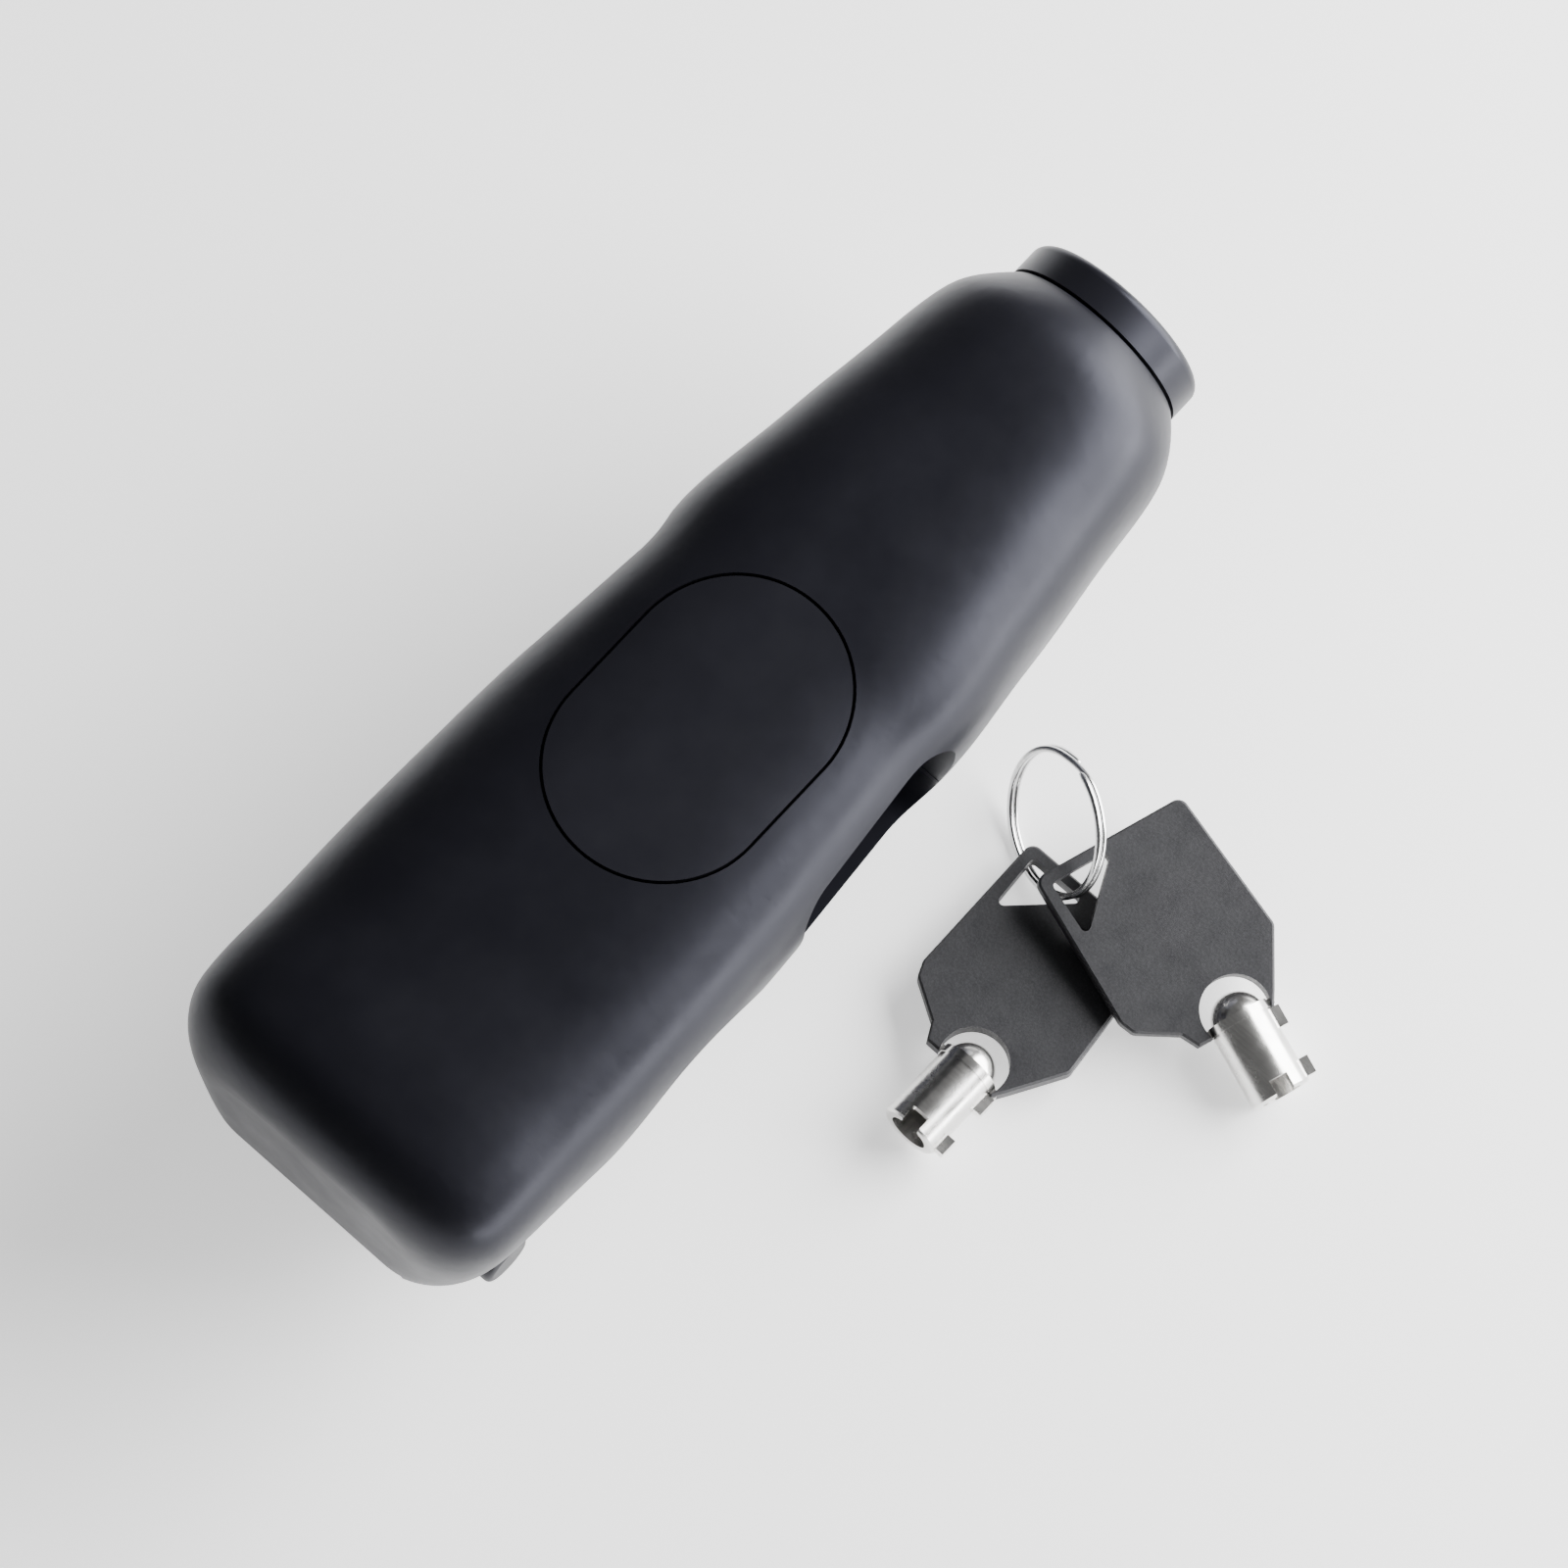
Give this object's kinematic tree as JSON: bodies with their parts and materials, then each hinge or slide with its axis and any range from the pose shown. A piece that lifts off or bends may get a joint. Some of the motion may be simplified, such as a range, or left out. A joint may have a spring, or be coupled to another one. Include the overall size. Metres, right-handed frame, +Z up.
{
  "type": "handlebar grip lock",
  "caption": "Clamshell motorcycle lock that closes over a handlebar grip and brake lever, with a hinged jaw, tubular lock, bolt and keys on a ring.",
  "frame": {"origin": "middle of the grip channel's axis, on the parting plane between body and jaw", "axes": "+X along the lock towards the lock cylinder, +Y along the grip channel, +Z up through the badge"},
  "size_m": [0.155, 0.1087, 0.0551],
  "materials": {
    "body_plastic": "satin near-black moulded nylon",
    "badge_plastic": "satin near-black moulded nylon",
    "steel": "zinc plated, dull",
    "pin_steel": "black oxide",
    "rubber": "matt black rubber",
    "brass": "machined",
    "lock_steel": "satin nickel",
    "key_plastic": "fine textured dark grey",
    "key_nickel": "bright nickel plate",
    "ring_steel": "polished"
  },
  "bodies": {
    "body": {"upper_shell": "body_plastic", "badge_insert": "badge_plastic", "upper_frame": "steel", "upper_grip_pad": "rubber", "upper_lever_pad": "rubber", "bolt_guide": "steel", "guide_screws": "steel", "lock_barrel": "lock_steel", "pin_block": "brass", "driver_pins": "brass", "tumbler_springs": "lock_steel", "end_cap": "body_plastic", "cap_seal": "rubber", "barrel_set_screw": "steel", "hinge_pin": "pin_steel", "pin_cap": "pin_steel"},
    "jaw": {"jaw_shell": "body_plastic", "jaw_strap": "steel", "jaw_grip_pad": "rubber", "jaw_lever_pad": "rubber", "jaw_screws": "steel", "screw_plugs": "rubber", "hinge_bushes": "brass"},
    "plug": {"lock_spindle": "lock_steel", "key_pins": "brass", "cam_drum": "brass", "drum_pin": "steel"},
    "bolt": {"locking_bolt": "steel", "follower_pin": "steel"},
    "ring": {"key_ring": "ring_steel"},
    "key_1": {"key_1_bow": "key_plastic", "key_1_barrel": "key_nickel"},
    "key_2": {"key_2_bow": "key_plastic", "key_2_barrel": "key_nickel"}
  },
  "joints": [
    {"name": "jaw_hinge", "type": "hinge", "parent": "body", "child": "jaw", "pos_m": [-0.032, 0, 0], "axis": [0, 1, 0], "range_deg": [0, 70]},
    {"name": "plug_turn", "type": "hinge", "parent": "body", "child": "plug", "pos_m": [0.1, 0, 0.013], "axis": [-1, 0, 0], "range_deg": [0, 90]},
    {"name": "bolt_slide", "type": "slide", "parent": "body", "child": "bolt", "axis": [-1, 0, 0], "range_m": [0, 0.008]},
    {"name": "ring_lift", "type": "slide", "parent": "body", "child": "ring", "axis": [0, 0, 1], "range_m": [0, 0.06]},
    {"name": "key_1_swing", "type": "hinge", "parent": "ring", "child": "key_1", "pos_m": [0.0626, -0.035, -0.0147], "axis": [-0.7722, 0.4281, 0.4695], "range_deg": [-40, 0]},
    {"name": "key_2_swing", "type": "hinge", "parent": "ring", "child": "key_2", "pos_m": [0.0626, -0.035, -0.0147], "axis": [-0.7722, 0.4281, 0.4695], "range_deg": [0, 50]}
  ],
  "couplings": [
    {"joint": "bolt_slide", "follows": "plug_turn", "m_per_rad": 0.005093}
  ]
}
